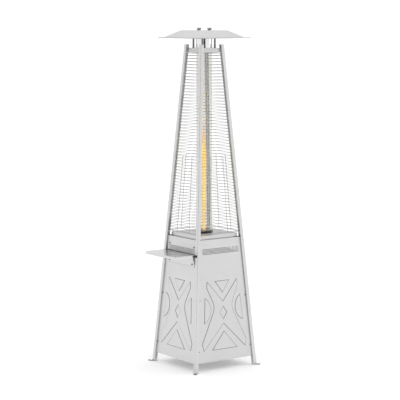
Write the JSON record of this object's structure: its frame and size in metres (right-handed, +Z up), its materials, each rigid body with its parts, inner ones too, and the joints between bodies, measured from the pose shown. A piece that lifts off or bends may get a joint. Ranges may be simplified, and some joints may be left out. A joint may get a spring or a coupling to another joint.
{
  "type": "patio heater",
  "caption": "Free-standing pyramid patio heater with a gas cabinet, glass flame tube, wire guards, square reflector and folding side shelf.",
  "frame": {"origin": "on the floor, on the pyramid's axis, midway between the four floor anchor holes", "axes": "+Z up the pyramid's axis; the side shelf is towards -X, the door and controls towards +Y"},
  "size_m": [0.6347, 0.5554, 2.25],
  "materials": {
    "leg_steel": "satin",
    "brushed_panel": "brushed",
    "bright_steel": "satin",
    "foot_steel": "satin",
    "guard_wire": "satin",
    "polished_steel": "polished",
    "reflector_sheet": "satin",
    "flame_glass": "clear",
    "black_steel": "matte",
    "dark_steel": "satin",
    "black_plastic": "matte",
    "brass": "satin",
    "copper_tube": "satin",
    "red_lead": "matte"
  },
  "bodies": {
    "heater": {"lower_leg_front_left": "leg_steel", "lower_leg_front_right": "leg_steel", "lower_leg_back_right": "leg_steel", "lower_leg_back_left": "leg_steel", "upper_leg_front_left": "leg_steel", "upper_leg_front_right": "leg_steel", "upper_leg_back_right": "leg_steel", "upper_leg_back_left": "leg_steel", "leg_joiners": "bright_steel", "foot_front_left": "foot_steel", "foot_front_right": "foot_steel", "foot_back_right": "foot_steel", "foot_back_left": "foot_steel", "front_panel": "brushed_panel", "right_panel": "brushed_panel", "left_panel": "brushed_panel", "panel_screws": "bright_steel", "base_plate": "brushed_panel", "heat_shield": "brushed_panel", "burner_tray": "brushed_panel", "burner_body": "bright_steel", "burner_head": "bright_steel", "gas_jet": "brass", "control_panel": "brushed_panel", "valve_bracket": "bright_steel", "valve_body": "brass", "igniter_body": "black_plastic", "gas_pipe": "copper_tube", "pilot_tube": "bright_steel", "thermocouple": "copper_tube", "ignition_lead": "red_lead", "tilt_switch": "black_plastic", "hinge_leaves": "bright_steel", "magnet_catch": "black_plastic", "glass_seat": "black_steel", "glass_tube": "flame_glass", "collar": "polished_steel", "guard_front": "guard_wire", "guard_right": "guard_wire", "guard_back": "guard_wire", "guard_left": "guard_wire", "top_plate": "brushed_panel", "reflector_posts": "bright_steel", "reflector_carrier": "bright_steel", "reflector": "reflector_sheet", "wing_nuts": "bright_steel", "shelf_bracket": "bright_steel", "shelf_pivots": "dark_steel", "shelf_spacers": "bright_steel", "bracket_bolts": "bright_steel"},
    "door": {"door_panel": "brushed_panel", "door_knuckles": "bright_steel", "door_handle": "bright_steel", "catch_plate": "bright_steel"},
    "plunger": {"valve_plunger": "bright_steel"},
    "knob": {"valve_stem": "bright_steel", "control_knob": "black_plastic"},
    "igniter": {"igniter_button": "black_plastic"},
    "shelf": {"shelf_top": "brushed_panel"}
  },
  "joints": [
    {"name": "door_hinge", "type": "hinge", "parent": "heater", "child": "door", "pos_m": [0.2109, 0.23789, 0.15], "axis": [0.0736, 0.0736, -0.9946], "range_deg": [0, 100]},
    {"name": "shelf_fold", "type": "hinge", "parent": "heater", "child": "shelf", "pos_m": [-0.207, 0, 0.763], "axis": [0, -1, 0], "range_deg": [0, 84]},
    {"name": "knob_push", "type": "slide", "parent": "heater", "child": "plunger", "axis": [0, -0.9973, -0.0738], "range_m": [0, 0.0035], "stiffness_N_per_m": 1500, "springref_m": -0.003},
    {"name": "knob_turn", "type": "hinge", "parent": "plunger", "child": "knob", "pos_m": [0, 0.18525, 0.78], "axis": [0, 0.9973, 0.0738], "range_deg": [0, 200]},
    {"name": "igniter_push", "type": "slide", "parent": "heater", "child": "igniter", "axis": [0, -0.9973, -0.0738], "range_m": [0, 0.006], "stiffness_N_per_m": 800, "springref_m": -0.004}
  ]
}
